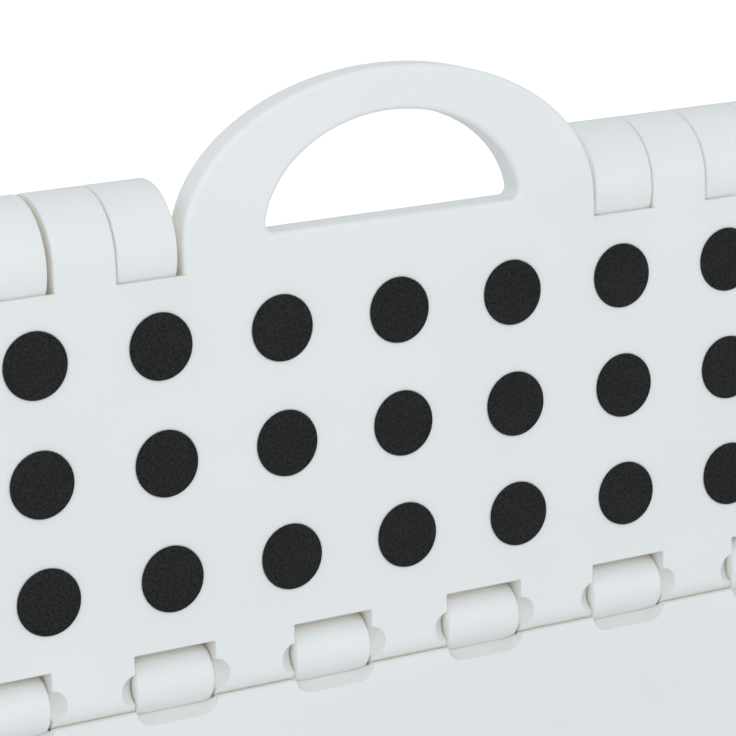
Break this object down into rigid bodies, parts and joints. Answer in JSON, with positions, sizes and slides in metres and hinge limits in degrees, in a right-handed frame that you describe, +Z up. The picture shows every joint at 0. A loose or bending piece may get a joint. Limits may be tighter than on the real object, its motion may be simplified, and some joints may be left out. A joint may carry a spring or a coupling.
{
  "type": "folding step stool",
  "caption": "Moulded plastic folding step stool with barrel-hinged seat halves, an arched carrying handle, raised grip dots, arched leg panels and folding end panels.",
  "frame": {"origin": "floor level, in the middle of the folded stool's length and thickness, below the centre hinge axis", "axes": "+X along the seat, +Y from the front half to the rear half, +Z up; modelled folded flat and standing on its feet"},
  "size_m": [0.314, 0.0346, 0.3673],
  "materials": {
    "white_plastic": "white moulded plastic with a fine matt grain",
    "black_grip": "matt black soft plastic with a fine grain",
    "foot_rubber": "matt black rubber",
    "pin_steel": "plain drawn steel rod"
  },
  "bodies": {
    "leg_front": {"leg_front": "white_plastic", "leg_pin_front": "pin_steel", "gusset_pin_front_left": "pin_steel", "gusset_pin_front_right": "pin_steel", "foot_pad_front_left": "foot_rubber", "foot_pad_front_right": "foot_rubber"},
    "seat_front": {"seat_front": "white_plastic", "grip_dots_front_row_1": "black_grip", "grip_dots_front_row_2": "black_grip", "grip_dots_front_row_3": "black_grip", "centre_pin_left": "pin_steel", "centre_pin_right": "pin_steel"},
    "seat_rear": {"seat_rear": "white_plastic", "grip_dots_rear_row_1": "black_grip", "grip_dots_rear_row_2": "black_grip", "grip_dots_rear_row_3": "black_grip"},
    "leg_rear": {"leg_rear": "white_plastic", "leg_pin_rear": "pin_steel", "gusset_pin_rear_left": "pin_steel", "gusset_pin_rear_right": "pin_steel", "foot_pad_rear_left": "foot_rubber", "foot_pad_rear_right": "foot_rubber"},
    "gusset_front_left": {"gusset_front_left": "white_plastic", "gusset_fold_pin_left": "pin_steel"},
    "gusset_front_right": {"gusset_front_right": "white_plastic", "gusset_fold_pin_right": "pin_steel"},
    "gusset_rear_left": {"gusset_rear_left": "white_plastic"},
    "gusset_rear_right": {"gusset_rear_right": "white_plastic"}
  },
  "joints": [
    {"name": "fold", "type": "hinge", "parent": "leg_front", "child": "seat_front", "pos_m": [0, -0.0085, 0.2119], "axis": [-1, 0, 0], "range_deg": [0, 90]},
    {"name": "centre_hinge", "type": "hinge", "parent": "seat_front", "child": "seat_rear", "pos_m": [0, 0, 0.3263], "axis": [1, 0, 0], "range_deg": [0, 180]},
    {"name": "rear_leg_hinge", "type": "hinge", "parent": "seat_rear", "child": "leg_rear", "pos_m": [0, 0.0085, 0.2119], "axis": [-1, 0, 0], "range_deg": [0, 90]},
    {"name": "front_left_gusset_hinge", "type": "hinge", "parent": "leg_front", "child": "gusset_front_left", "pos_m": [-0.1436, -0.0085, 0.1], "axis": [0, 0, 1], "range_deg": [0, 90]},
    {"name": "front_right_gusset_hinge", "type": "hinge", "parent": "leg_front", "child": "gusset_front_right", "pos_m": [0.1436, -0.0085, 0.1], "axis": [0, 0, -1], "range_deg": [0, 90]},
    {"name": "rear_left_gusset_hinge", "type": "hinge", "parent": "leg_rear", "child": "gusset_rear_left", "pos_m": [-0.1436, 0.0085, 0.1], "axis": [0, 0, -1], "range_deg": [0, 90]},
    {"name": "rear_right_gusset_hinge", "type": "hinge", "parent": "leg_rear", "child": "gusset_rear_right", "pos_m": [0.1436, 0.0085, 0.1], "axis": [0, 0, 1], "range_deg": [0, 90]}
  ],
  "couplings": [
    {"joint": "centre_hinge", "follows": "fold", "ratio": 2},
    {"joint": "rear_leg_hinge", "follows": "fold", "ratio": 1},
    {"joint": "front_left_gusset_hinge", "follows": "fold", "ratio": 1},
    {"joint": "front_right_gusset_hinge", "follows": "fold", "ratio": 1},
    {"joint": "rear_left_gusset_hinge", "follows": "fold", "ratio": 1},
    {"joint": "rear_right_gusset_hinge", "follows": "fold", "ratio": 1}
  ]
}
